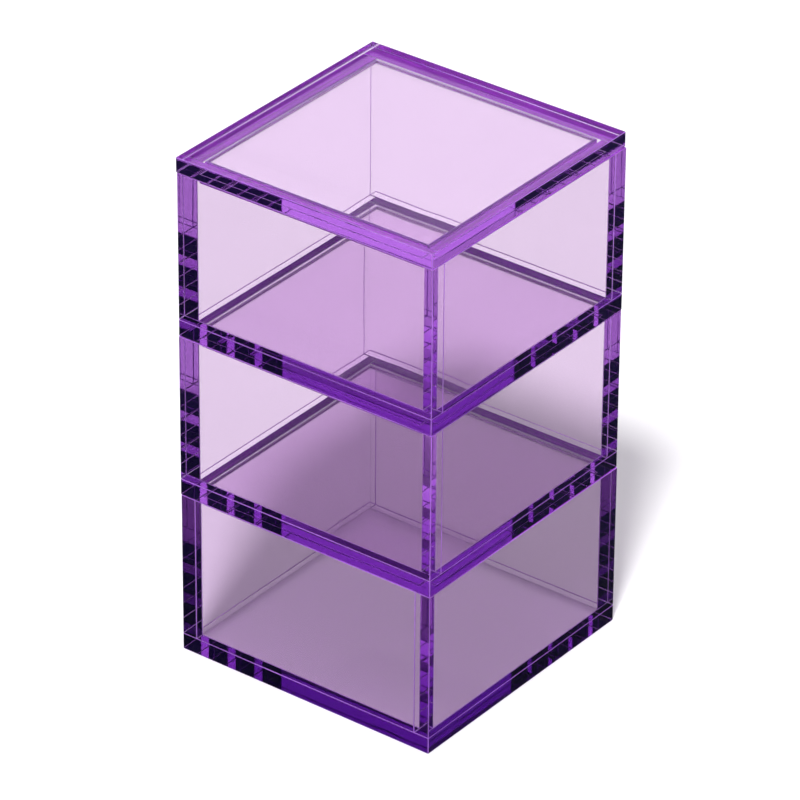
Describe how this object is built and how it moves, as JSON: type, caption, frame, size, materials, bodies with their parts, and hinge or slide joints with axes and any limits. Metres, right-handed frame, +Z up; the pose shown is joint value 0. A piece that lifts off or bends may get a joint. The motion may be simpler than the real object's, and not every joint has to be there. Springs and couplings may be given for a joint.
{
  "type": "stacking desk organizer",
  "caption": "Square stacking boxes of tinted clear acrylic with a flat lift-off lid, for keeping small office supplies in view on a desk.",
  "frame": {"origin": "on the desk, at the middle of the bottom box's footprint", "axes": "+Z up, +X to the right wall, +Y to the back wall"},
  "size_m": [0.1021, 0.1019, 0.1839],
  "materials": {
    "box_acrylic": "polished clear acrylic with a violet tint, pale through a face and deep violet along the edges",
    "lid_acrylic": "polished clear acrylic with a violet tint, pale through a face and deep violet along the edges"
  },
  "bodies": {
    "bottom_box": {"bottom_floor": "box_acrylic", "bottom_wall_front": "box_acrylic", "bottom_wall_back": "box_acrylic", "bottom_wall_left": "box_acrylic", "bottom_wall_right": "box_acrylic"},
    "middle_box": {"middle_floor": "box_acrylic", "middle_wall_front": "box_acrylic", "middle_wall_back": "box_acrylic", "middle_wall_left": "box_acrylic", "middle_wall_right": "box_acrylic", "middle_locating_plate": "box_acrylic"},
    "top_box": {"top_floor": "box_acrylic", "top_wall_front": "box_acrylic", "top_wall_back": "box_acrylic", "top_wall_left": "box_acrylic", "top_wall_right": "box_acrylic", "top_locating_plate": "box_acrylic"},
    "lid": {"lid_plate": "lid_acrylic", "lid_locating_plate": "lid_acrylic"}
  },
  "joints": [
    {"name": "middle_box_lift", "type": "slide", "parent": "bottom_box", "child": "middle_box", "axis": [0, 0, 1], "range_m": [0, 0.07]},
    {"name": "top_box_lift", "type": "slide", "parent": "middle_box", "child": "top_box", "axis": [0, 0, 1], "range_m": [0, 0.07]},
    {"name": "lid_lift", "type": "slide", "parent": "top_box", "child": "lid", "axis": [0, 0, 1], "range_m": [0, 0.07]}
  ]
}
